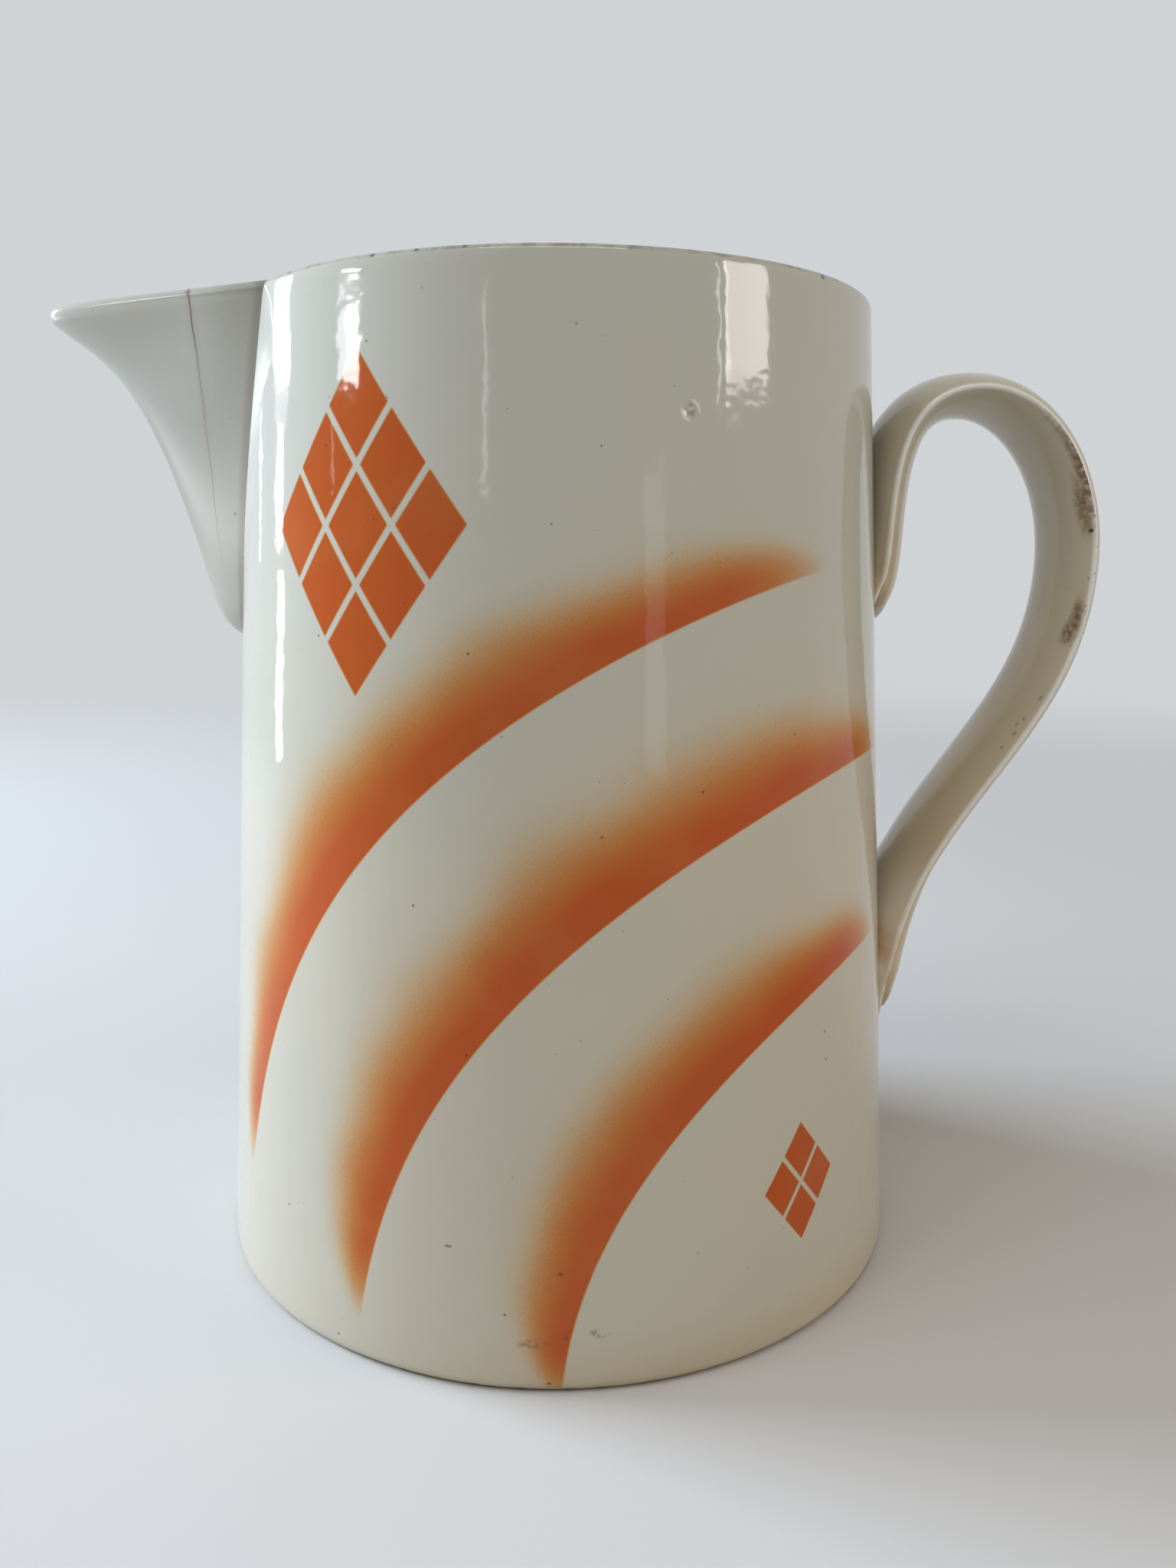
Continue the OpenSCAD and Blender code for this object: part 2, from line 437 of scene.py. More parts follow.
def smallMarks(board, point, s, h, colour):
    soot = None
    for dot in dots:
        mark = oval(s, h, dot).smooth(1.3, 0.5)
        soot = mark if soot is None else soot.most(mark)
    rubbed = None
    for scuff in scuffs:
        mark = oval(s, h, scuff).smooth(1.4, 0.2)
        rubbed = mark if rubbed is None else rubbed.most(mark)
    rubbed = rubbed * board.noise(point, 1.3, 2.0).smooth(0.46, 0.64)
    return board.mix((soot * 0.62).most(rubbed * 0.5), colour, glaze["speck"])


def taper(z):
    # the wall's outer radius at a height, both in millimetres
    return z * ((body["rimRadius"] - body["baseRadius"]) / body["height"]) + body["baseRadius"] / mm


def decoration(board, point, s, h, outside):
    # how thickly the pigment covers the glaze
    waver = board.noise(point, 30, 1.0) * 0.5 + 0.75
    density = None
    for arc in bands:
        band = arcBand(board, s, h, arc, waver)
        density = band if density is None else density.most(band)
    for group in lozenges:
        density = density.most(lozengeGroup(s, h, group))
    mist = board.noise(point, 0.4, 1.0) - 0.5
    cover = board.noise(point, 18, 2.0) * 0.4 + 0.8
    return density * cover * (1.0 + mist * 0.9 * (1.0 - density)) * outside


def rimWear(board, point, z, outside, colour):
    # a worn, dirty line along the rim's outer edge
    top = body["height"] / mm
    edgeLine = z.smooth(top - 1.15, top - 0.55) * z.smooth(top + 0.02, top - 0.18) * outside
    worn = board.noise(point, 2.2, 2.0).smooth(0.40, 0.66)
    return board.mix(edgeLine * (worn * 0.35 + 0.2), colour, glaze["dirt"])


def wallMaterial():
    material, board = newMaterial("creamGlazeSprayed")
    point, x, y, z = place(board)
    s, h = rolledOut(x, y, z)
    ground = creamColour(board, point, z)
    outside = ((x * x + y * y).root() - taper(z) + 1.6) > 0.0
    density = decoration(board, point, s, h, outside)
    sprayed = board.make("ShaderNodeValToRGB", {"stops": pigment}, {"Fac": density}, "Color")
    colour = pinholes(board, point, board.times(ground, sprayed))
    low = h.smooth(14.0, 1.5) * (s.smooth(-45.0, 20.0) * 0.36 + 0.09) * outside
    colour = board.mix(low, colour, board.times(colour, glaze["tanned"]))
    colour = rimWear(board, point, z, outside, colour)
    colour = board.mix(outside, colour, smallMarks(board, point, s, h, colour))
    # the pit: a painted highlight on one side of its brim, darker patches inside and a hollow in the
    # height
    reach = oval(s, h, (pit["s"], pit["h"], pit["across"], pit["high"]))
    towardLight = abs((s - pit["s"]) * (0.8 / pit["across"]) + (h - pit["h"]) * (0.6 / pit["high"]))
    # painted highlight on the brim's lit side only
    paintedBrimHighlight = reach.smooth(0.62, 0.82) * reach.smooth(1.1, 0.9) * towardLight.smooth(0.45, 0.75) * outside
    colour = board.mix(paintedBrimHighlight * 0.6, colour, glaze["paintedLightTone"])
    darkerInside = reach.smooth(0.85, 0.2) * board.noise(point, 0.9, 2.0).smooth(0.35, 0.6)
    colour = board.mix(darkerInside * 0.6 * outside, colour, glaze["coffee"])
    hollow = reach.smooth(1.0, 0.25) * outside
    # the foot was wiped bare before firing
    bare = z.smooth(1.3, 0.7)
    colour = board.mix(bare, colour, glaze["clay"])
    dirty = bare * board.noise(point, 3.0, 3.0).smooth(0.45, 0.62)
    colour = board.mix(dirty * 0.7, colour, glaze["dirt"])
    roughness = bare * glaze["bareRoughness"] + glaze["roughness"]
    height = glazeRipple(board, point) - hollow * (pit["deep"] * mm / glaze["sag"])
    surface(board, colour, roughness, height, glaze["sag"])
    return material


def plainMaterial(name, marksAndPaintedLight=None, bareBelow=None, tint=None, dulled=None, ripple=1.0):
    # the glaze without decoration; dulled is the roughness it has more than the wall's
    material, board = newMaterial(name)
    point, x, y, z = place(board)
    colour = pinholes(board, point, creamColour(board, point, z))
    if tint:
        colour = board.times(colour, (*tint, 1.0))
    roughness = board.noise(point, 20, 1.0) * 0.04 + glaze["roughness"]
    if dulled:
        # the first part is only added below the lip, which stays shinier
        lip = body["height"] / mm - 1.6
        roughness = z.smooth(lip, lip - 1.0) * dulled[0] + roughness + dulled[1]
    if marksAndPaintedLight:
        colour = marksAndPaintedLight(board, point, x, y, z, colour)
    if bareBelow is not None:
        bare = z.smooth(bareBelow + 0.25, bareBelow - 0.05)
        colour = board.mix(bare, colour, glaze["clay"])
        roughness = bare * glaze["bareRoughness"] + roughness
    surface(board, colour, roughness, glazeRipple(board, point), glaze["sag"] * ripple)
    return material


# Stains on the strap: along is a share of its length from the upper root, aside is across it and
# out is through it, in millimetres; each has half its length and half its width, and its strength
strapStains = [
    {"along": 0.418, "aside": -14.5, "long": 0.062, "wide": 1.1, "deep": 1.0},
    {"along": 0.449, "aside": -13.7, "long": 0.028, "wide": 2.5, "deep": 0.95},
    {"along": 0.545, "aside": -13.4, "long": 0.024, "wide": 1.4, "deep": 1.0},
    {"along": 0.557, "aside": -12.9, "long": 0.013, "wide": 1.8, "deep": 1.0},
    {"along": 0.616, "aside": -13.6, "long": 0.003, "wide": 0.35, "deep": 0.8},
    {"along": 0.638, "aside": -13.1, "long": 0.002, "wide": 0.40, "deep": 0.7},
    {"along": 0.645, "aside": -12.5, "long": 0.003, "wide": 0.35, "deep": 0.7},
    {"along": 0.652, "aside": -13.2, "long": 0.003, "wide": 0.45, "deep": 0.7},
    {"along": 0.668, "aside": -12.9, "long": 0.002, "wide": 0.40, "deep": 0.7},
]
pinhole = (0.4705, -14.2, 0.0018, 0.42)
rustSpot = (0.866, -11.0, 0.022, 6.5)


def handleStainsAndPaintedLight(board, point, x, y, z, colour):
    # coffee stains that soak into the crazed glaze along the inner edge of the grip; round the root at
    # each end it is browner, partly from glaze pooled at the join and partly painted shade; it also paints
    # light on the inner face and highlights on the edges
    strap = board.make("ShaderNodeAttribute", {"attribute_name": "strap"}, {}, "Vector")
    along = board.make("ShaderNodeSeparateXYZ", {}, {0: strap}, "X")
    aside, out = along.other("Y"), along.other("Z")
    # painted light: the inner face is made paler low down where it is lit, and a painted highlight runs
    # along the ridged edges
    paintedLitFace = along.smooth(0.60, 0.72) * aside.smooth(-9.0, 3.0) * 0.55
    paintedLitFace = paintedLitFace.most(along.smooth(0.77, 0.84) * 0.5) * (out < 0.2)
    colour = board.mix(paintedLitFace, colour, glaze["paintedLightTone"])
    # painted highlight along both ridged edges
    paintedRidgeHighlight = abs(out - handle["edgeOut"] / mm).smooth(0.9, 0.2) * abs(aside).smooth(11.0, 13.0)
    colour = board.mix(paintedRidgeHighlight * 0.9, colour, glaze["paintedLightTone"])
    grain = board.noise(point, 1.2, 3.0)
    cloud = board.noise(point, 4, 2.0)
    soakedAndShaded = None
    for stain in strapStains:
        mark = oval(along, aside, (stain["along"], stain["aside"], stain["long"], stain["wide"]))
        mark = (mark + (cloud - 0.5) * 0.8).smooth(1.25, 0.2) * stain["deep"]
        soakedAndShaded = mark if soakedAndShaded is None else soakedAndShaded.most(mark)
    soakedAndShaded = soakedAndShaded * (grain.smooth(0.36, 0.60) * 0.45 + 0.55) * (out < 0.5)
    colour = board.mix(soakedAndShaded, colour, glaze["coffee"])
    peppered = specks(board, point, 1.5, 0.26, 0.5) * along.smooth(0.38, 0.43) * along.smooth(0.59, 0.55)
    colour = board.mix(peppered * aside.smooth(-11.6, -13.4) * 0.6, colour, glaze["brown"])
    pricked = oval(along, aside, pinhole).smooth(1.2, 0.6) * (out < 0.5)
    colour = board.mix(pricked * 0.9, colour, glaze["speck"])
    # browner at both ends: glaze pooled at the join, and painted shade
    rootPoolingAndShade = (along.smooth(0.80, 0.88) * 0.5).most(along.smooth(0.20, 0.13) * 0.3)
    colour = board.mix(rootPoolingAndShade * cloud.smooth(0.2, 0.55), colour, board.times(colour, glaze["soakedAndShaded"]))
    rust = oval(along, aside, rustSpot).smooth(1.1, 0.3) * (out < 1.5)
    return board.mix(rust * 0.9, colour, board.times(colour, glaze["rusty"]))


# Marks on the spout, in millimetres: x runs along it and is negative, z goes up
spoutMarks = {
    "crack": -73.5,
    "crackWander": 1.1,
    "chip": (-74.0, -25.6, 205.3),
    "chipRadius": 1.3,
    "dot": (-68.2, 163.0),
    "dotRadius": 0.5,
}


def spoutStainsAndPaintedShade(board, point, x, y, z, colour):
    # painted shade low down and where it joins the wall, a thin dark line along the seam, and a hairline
    # crack from a chip in its lip
    off = (x * x + y * y).root() - taper(z)
    # painted shade low down on the beak
    low = z.smooth(199, 176) * (z.smooth(140, 166) * 0.5 + 0.5)
    shade = board.mix(low, (1.0, 1.0, 1.0, 1.0), glaze["shaded"])
    # painted shade over a wide band where the beak joins the wall
    shade = board.mix(off.smooth(12.0, 0.0) * z.smooth(140, 158), shade, glaze["paintedJunctionShade"])
    colour = board.times(colour, shade)
    colour = board.mix(off.smooth(1.6, 0.3) * (off > -0.4) * 0.35, colour, glaze["dirt"])
    upOnly = board.stretched(point, (0.0, 0.0, 1.0))
    wander = (board.noise(upOnly, 12, 2.0) - 0.5) * spoutMarks["crackWander"]
    line = abs(x - spoutMarks["crack"] + wander)
    near = (y < -4.0)
    depth = z.smooth(148, 168) * (z.smooth(190, 200) * 0.45 + 0.5)
    crack = line.smooth(0.26, 0.06) * near * depth
    halo = line.smooth(1.5, 0.0) * near * z.smooth(160, 190) * 0.14
    dx, dy, dz = (axis - at for axis, at in zip((x, y, z), spoutMarks["chip"]))
    wide = spoutMarks["chipRadius"]
    chip = (dx * dx + dy * dy + dz * dz).root().smooth(wide, wide - 0.7) * 0.6
    ex, ez = (axis - at for axis, at in zip((x, z), spoutMarks["dot"]))
    wide = spoutMarks["dotRadius"]
    dot = (ex * ex + ez * ez).root().smooth(wide, wide / 2) * near * 0.7
    return board.mix(crack.most(halo).most(chip).most(dot), colour, glaze["crack"])


# Meshes

def geometryTree(name, sizes, takesCurve=False):
    tree = bpy.data.node_groups.new(name, "GeometryNodeTree")
    if takesCurve:
        tree.interface.new_socket("Path", in_out="INPUT", socket_type="NodeSocketGeometry")
    for label, value in sizes.items():
        kind = {int: "NodeSocketInt", float: "NodeSocketFloat"}.get(type(value), "NodeSocketMaterial")
        socket = tree.interface.new_socket(label, in_out="INPUT", socket_type=kind)
        if kind != "NodeSocketMaterial":
            socket.default_value = value
    tree.interface.new_socket("Mesh", in_out="OUTPUT", socket_type="NodeSocketGeometry")
    board = Board(tree)
    first = board.make("NodeGroupInput")
    labels = [*sizes, "Path"] if takesCurve else sizes
    return tree, board, {label: first.other(label) for label in labels}


def finishTree(board, mesh, material):
    smooth = board.make("GeometryNodeSetShadeSmooth", {}, {"Geometry": mesh, "Shade Smooth": True})
    real = board.make("GeometryNodeRealizeInstances", {}, {"Geometry": smooth})
    done = board.make("GeometryNodeSetMaterial", {}, {"Geometry": real, "Material": material})
    board.make("NodeGroupOutput", {}, {"Mesh": done})


def runTree(name, tree, sizes, base=None):
    # sets each input by its identifier, then keeps the result as a plain mesh
    data = base or bpy.data.meshes.new(name + "Base")
    holder = bpy.data.objects.new(name + "Base", data)
    scene.collection.objects.link(holder)
    modifier = holder.modifiers.new("grow", "NODES")
    modifier.node_group = tree
    for item in tree.interface.items_tree:
        if item.in_out == "INPUT" and item.name in sizes:
            modifier[item.identifier] = sizes[item.name]
    depsgraph = bpy.context.evaluated_depsgraph_get()
    mesh = bpy.data.meshes.new_from_object(holder.evaluated_get(depsgraph), depsgraph=depsgraph)
    bpy.data.objects.remove(holder)
    piece = bpy.data.objects.new(name, mesh)
    mesh.name = name
    scene.collection.objects.link(piece)
    return piece


def gridPoints(board, columns, rows):
    # a sheet of points with u across and v along, both from 0 to 1
    grid = board.make("GeometryNodeMeshGrid", {}, {
        "Size X": 1.0, "Size Y": 1.0, "Vertices X": columns, "Vertices Y": rows}, "Mesh")
    position = board.make("GeometryNodeInputPosition")
    apart = board.make("ShaderNodeSeparateXYZ", {}, {0: position}, "X")
    return grid, apart + 0.5, apart.other("Y") + 0.5


def coneAt(get, z):
    # the wall's outer radius at a height, from a tree's own inputs
    return get["Base Radius"] + (get["Rim Radius"] - get["Base Radius"]) * z / get["Height"]


def moved(board, mesh, x, y, z):
    # puts the sheet's points in their places and joins its seams
    joined = board.make("ShaderNodeCombineXYZ", {}, {"X": x, "Y": y, "Z": z})
    placed = board.make("GeometryNodeSetPosition", {}, {"Geometry": mesh, "Position": joined})
    return board.make("GeometryNodeMergeByDistance", {}, {"Geometry": placed, "Distance": 0.0002 * mm})


# where each stretch of the wall's profile ends, as a share of its rows
turning = {"under": 0.02, "foot": 0.06, "outer": 0.56, "lip": 0.65}


def wallTree(sizes):
    # the wall's profile turned round the axis; its rim dips into the notch behind the spout
    tree, board, get = geometryTree("turnedWall", sizes)
    grid, u, v = gridPoints(board, get["Columns"], get["Rows"])
    angle = u * (2 * math.pi) + (u * (2 * math.pi)).sin() * body["notchCrowd"]
    aside = angle.sin() * get["Rim Radius"] / get["Notch Half"]
    dip = get["Notch Low"] + (get["Height"] - get["Notch Low"]) * aside * aside + (angle.cos() > 0.0)
    top = get["Height"].math("SMOOTH_MIN", dip, body["notchCorner"])
    lip = get["Wall"] / 2.0
    edge = get["Lip Edge"]
    under = v.share(0.0, turning["under"])
    foot = v.share(turning["under"], turning["foot"]) * (math.pi / 2)
    up = v.share(turning["foot"], turning["outer"])
    over = v.share(turning["outer"], turning["lip"]) * math.pi
    down = v.share(turning["lip"], 1.0)
    depth = (get["Wall"] - (get["Wall"] - get["Foot Round"]) * under
             - get["Foot Round"] * foot.sin() + lip - edge * over.cos() - (lip - edge) * over.cos().sign())
    z = (get["Foot Round"] * (1.0 - foot.cos()) + (top - edge - get["Foot Round"]) * up
         + edge * over.sin() - (top - edge) * down)
    cone = coneAt(get, z)
    around = board.make("ShaderNodeCombineXYZ", {}, {
        "X": angle.cos() * cone, "Y": angle.sin() * cone, "Z": z})
    swell = board.noise(around, body["swellSize"], 1.0) * get["Swell"]
    radius = cone - depth - swell
    mesh = moved(board, grid, radius * angle.cos(), radius * angle.sin(), z)
    finishTree(board, mesh, get["Material"])
    return tree


def makeWall():
    sizes = {
        "Columns": body["columns"], "Rows": body["rows"], "Base Radius": body["baseRadius"],
        "Rim Radius": body["rimRadius"], "Height": body["height"], "Wall": body["wall"],
        "Lip Edge": body["lipEdge"], "Foot Round": body["footRound"],
        "Notch Low": body["notchLow"], "Notch Half": body["notchHalf"],
        "Swell": body["swell"], "Material": wallMaterial(),
    }
    return runTree("bodyWall", wallTree(sizes), sizes)


handle = {
    "width": 29.5 * mm,
    "thickness": 9.7 * mm,
    "reach": 47.2 * mm,
    "reachDrop": 51.7 * mm,
    "crestDrop": 15.9 * mm,
    "crestOut": 20.7 * mm,
    "upperRootDrop": 57.4 * mm,
    "lowerRootHeight": 60.8 * mm,
    "upperLean": 23,
    "lowerLean": 12,
    "spread": 5.5 * mm,
    "spreadReach": 10 * mm,
    "edgePoint": 1.35,
    "edgeOut": 0.5 * mm,         # how far the ridged edges lie outside the middle of the thickness
    "blunt": 2.4 * mm,           # where the strap runs out thin on the wall, it ends this blunt
    "bluntLow": 3.2 * mm,        # and at the lower root
    "rootSwell": 0.22,           # share by which it thickens at its upper root
    "rootSwellLow": 0.42,
    "riseShare": 0.244,          # how far the curve's handles reach, as shares of its sizes
    "crestShare": 1.116,
    "fallShare": 0.419,
    "footShare": 0.461,
    "tail": 3.2,                 # thicknesses by which each end runs on inside the wall
    "sunk": 1.2 * mm,            # how deep the trimmed ends sit in the wall
    "ends": 0.004,               # share of its length over which each hidden end closes
    "columns": 61,
    "rows": 320,
    "fillet": 0.8 * mm,
    "tint": (1.0, 0.93, 0.83),
}


def strapTree(sizes):
    # a lens-shaped section carried along the path, spreading where it nears the wall
    tree, board, get = geometryTree("sweptStrap", sizes, takesCurve=True)
    grid, u, v = gridPoints(board, get["Columns"], get["Rows"])
    sample = board.make("GeometryNodeSampleCurve", {"mode": "FACTOR"}, {
        "Curves": get["Path"], "Factor": v}, "Position")
    middle = board.make("ShaderNodeSeparateXYZ", {}, {0: sample}, "X")
    midZ = middle.other("Z")
    way = board.make("ShaderNodeSeparateXYZ", {}, {0: sample.other("Tangent")}, "X")
    near = 1.0 - (middle - coneAt(get, midZ)).share(0.0, handle["spreadReach"])
    ends = v.share(0.0, handle["ends"]) * (1.0 - v).share(0.0, handle["ends"])
    half = (get["Width"] / 2.0 + get["Spread"] / 2.0 * near * near) * ends
    turn = u * (2 * math.pi)
    face = turn.sin()
    thick = get["Thickness"] / 2.0 * face.sign() * (abs(face) ** handle["edgePoint"])
    lower = v > 0.5
    swell = lower * (handle["rootSwellLow"] - handle["rootSwell"]) + handle["rootSwell"]
    blunt = lower * (handle["bluntLow"] - handle["blunt"]) + handle["blunt"]
    bare = thick * (1.0 + swell * near)
    thick = (bare + handle["edgeOut"] * (1.0 - face * face)) * ends
    x = middle - way.other("Z") * thick
    z = midZ + way * thick
    y = half * turn.cos()
    off = (x * x + y * y).root() - coneAt(get, z)
    close = 1.0 - off.share(0.0, get["Fillet"] * 2.0)
    y = y + turn.cos() * get["Fillet"] * close * close * ends
    # the side that meets the wall at a slant ends blunt, not in a thin wedge
    slant = face.share(0.0, -0.35) * (1.0 - lower) + face.share(0.0, 0.35) * lower
    beyond = off * abs(off) ** 3.0 - blunt ** 4.0 * slant
    through = abs(bare) * abs(way.other("Z")) * 1.8
    x = x + (beyond.sign() * abs(beyond) ** 0.25 - off).most(-through) * (slant > 0.0) * ends
    marks = board.make("ShaderNodeCombineXYZ", {}, {"X": v, "Y": y / mm, "Z": thick / mm})
    grid = board.make("GeometryNodeStoreNamedAttribute", {"data_type": "FLOAT_VECTOR"}, {
        "Geometry": grid, "Name": "strap", "Value": marks})
    mesh = moved(board, grid, x, y, z)
    finishTree(board, mesh, get["Material"])
    return tree


def handlePath():
    # the ear-shaped line, from inside the wall at the upper root to inside it at the lower one
    top = body["height"]
    rootHigh = top - handle["upperRootDrop"]
    upper = Vector((wallRadius(rootHigh), rootHigh))
    lower = Vector((wallRadius(handle["lowerRootHeight"]), handle["lowerRootHeight"]))
    crest = Vector((upper[0] + handle["crestOut"], top - handle["crestDrop"]))
    reachHigh = top - handle["reachDrop"]
    widest = Vector((wallRadius(reachHigh) + handle["reach"], reachHigh))
    rise = polar(1, handle["upperLean"])
    fall = polar(1, handle["lowerLean"])
    quarter = 0.5523                     # Bezier handle of a quarter ellipse
    tail = handle["tail"] * handle["thickness"]
    climb = handle["riseShare"] * (crest[1] - rootHigh)
    drop = reachHigh - handle["lowerRootHeight"]
    points = [
        (upper - rise * tail, upper - rise * tail * 1.3, upper - rise * tail * 0.7),
        (upper, upper - rise * tail * 0.3, upper + rise * climb),
        (crest, crest - Vector((handle["crestShare"] * handle["crestOut"], 0)),
         crest + Vector((quarter * (widest[0] - crest[0]), 0))),
        (widest, widest + Vector((0, quarter * (crest[1] - reachHigh))),
         widest - Vector((0, handle["fallShare"] * drop))),
        (lower, lower + fall * handle["footShare"] * drop, lower - fall * tail * 0.3),
        (lower - fall * tail, lower - fall * tail * 0.7, lower - fall * tail * 1.3),
    ]
    curve = bpy.data.curves.new("handlePath", "CURVE")
    curve.dimensions = "3D"
    curve.resolution_u = 48
    spline = curve.splines.new("BEZIER")
    spline.bezier_points.add(len(points) - 1)
    for knot, (at, before, after) in zip(spline.bezier_points, points):
        knot.handle_left_type = "FREE"
        knot.handle_right_type = "FREE"
        knot.co = (at[0], 0, at[1])
        knot.handle_left = (before[0], 0, before[1])
        knot.handle_right = (after[0], 0, after[1])
    return curve


def wallCutter(inset):
    # the body's outer face as a closed solid, drawn in by inset, to trim what is luted on to it
    steps = 256
    high = body["height"] + 20 * mm
    low = -5 * mm
    points = []
    for z in (low, high):
        radius = wallRadius(z) - inset
        for i in range(steps):
            a = 2 * math.pi * i / steps
            points.append((radius * math.cos(a), radius * math.sin(a), z))
    faces = [(i, (i + 1) % steps, steps + (i + 1) % steps, steps + i) for i in range(steps)]
    faces.append(tuple(range(steps - 1, -1, -1)))
    faces.append(tuple(range(steps, 2 * steps)))
    mesh = bpy.data.meshes.new("wallFace")
    mesh.from_pydata(points, [], faces)
    cutter = bpy.data.objects.new("wallFace", mesh)
    scene.collection.objects.link(cutter)
    return cutter


def trimmed(piece, inset):
    # cuts away what lies inside the wall; the mesh has to be closed, or nothing is cut
    cutter = wallCutter(inset)
    modifier = piece.modifiers.new("trim", "BOOLEAN")
    modifier.operation = "DIFFERENCE"
    modifier.solver = "MANIFOLD"
    modifier.object = cutter
    depsgraph = bpy.context.evaluated_depsgraph_get()
    mesh = bpy.data.meshes.new_from_object(piece.evaluated_get(depsgraph), depsgraph=depsgraph)
    piece.modifiers.clear()
    old = piece.data
    piece.data = mesh
    mesh.name = piece.name
    bpy.data.meshes.remove(old)
    bpy.data.objects.remove(cutter)
    return piece


def makeHandle():
    sizes = {
        "Columns": handle["columns"], "Rows": handle["rows"], "Width": handle["width"],
        "Thickness": handle["thickness"], "Spread": handle["spread"], "Fillet": handle["fillet"],
        "Base Radius": body["baseRadius"], "Rim Radius": body["rimRadius"], "Height": body["height"],
        "Material": plainMaterial("creamGlazeStainedAndPaintedLight", handleStainsAndPaintedLight, tint=handle["tint"]),
    }
    piece = runTree("strapHandle", strapTree(sizes), sizes, handlePath())
    return trimmed(piece, handle["sunk"])


def meshPiece(name, points, faces, material):
    mesh = bpy.data.meshes.new(name)
    mesh.from_pydata(points, [], faces)
    mesh.materials.append(material)
    mesh.shade_smooth()
    piece = bpy.data.objects.new(name, mesh)
    scene.collection.objects.link(piece)
    return piece


spout = {
    "reach": 42.9 * mm,
    "width": 68 * mm,
    "depth": 69.5 * mm,
    "bellyHeight": 9 * mm,
    "bellyOut": 8 * mm,
    "tipDrop": 2.5 * mm,
    "tipDip": 41,
    "tipPull": 0.306,
    "noseRound": 1.2 * mm,
    "keelLean": 13.6,
    "neckPull": 0.9,
    "keelRound": 4 * mm,
    "wall": 4.5 * mm,
    "keelThickness": 6 * mm,
    "bellyPull": 0.45,
    "overWide": 1.35,            # how far each section runs on past the wall's face, to be trimmed off
    "channelSide": 1.25,         # walls' widths between the outside and the channel, at the rim
    "sunk": 9 * mm,              # how far the hidden ends reach into the wall
    "acrossSteps": 56,
    "alongSteps": 64,
    "lipSteps": 8,
    # painted shade: the beak's glaze is darkened a little all over
    "tint": (0.93, 0.92, 0.93),
    "dulled": (0.13, 0.07),      # roughness added below the lip, and everywhere
    "ripple": 0.15,
}


def keelLine(lowHeight, inset):
    # the beak's lower edge from the belly to the tip, as distances from the axis and heights
    top = body["height"]
    bellyZ = top - spout["depth"] + spout["bellyHeight"]
    low = Vector((wallRadius(bellyZ) + spout["bellyOut"] - inset, lowHeight))
    tip = Vector((body["rimRadius"] + spout["reach"] - inset, top - spout["tipDrop"]))
    span = (low, low + polar(spout["neckPull"] * (tip[1] - bellyZ), spout["keelLean"]),
            tip - polar(spout["tipPull"] * spout["reach"], 90 - spout["tipDip"]), tip)
    steps = spout["alongSteps"]
    return [bezier(span, i / steps) for i in range(steps + 1)]


def nosed(line, edge):
    # rounds the corner between the keel's end and the lip
    tip = line[-1]
    kept = [p for p in line if (p - tip).length > spout["noseRound"]]
    first = kept[-1]
    last = Vector((tip[0], body["height"] - edge))
    return kept + [first * (1 - t) ** 2 + tip * 2 * (1 - t) * t + last * t * t
                   for t in (i / 8 for i in range(1, 8))]


def spoutSection(keel, z, half):
    # one level cut through the beak: two straight sides and a rounded keel
    face = math.sqrt(wallRadius(z) ** 2 - half ** 2)
    deep = keel - face
    bend = min(spout["keelRound"], 0.35 * half * half / deep)
    slope = deep / math.sqrt(half * half - 2 * deep * bend)
    a = bend * slope * slope
    row = []
    steps = spout["acrossSteps"]
    for j in range(-steps, steps + 1):
        u = j / steps
        y = spout["overWide"] * half * math.copysign(abs(u) ** 1.3, u)
        row.append((-(keel - math.sqrt(a * a + (slope * y) ** 2) + a), y, z))
    return row


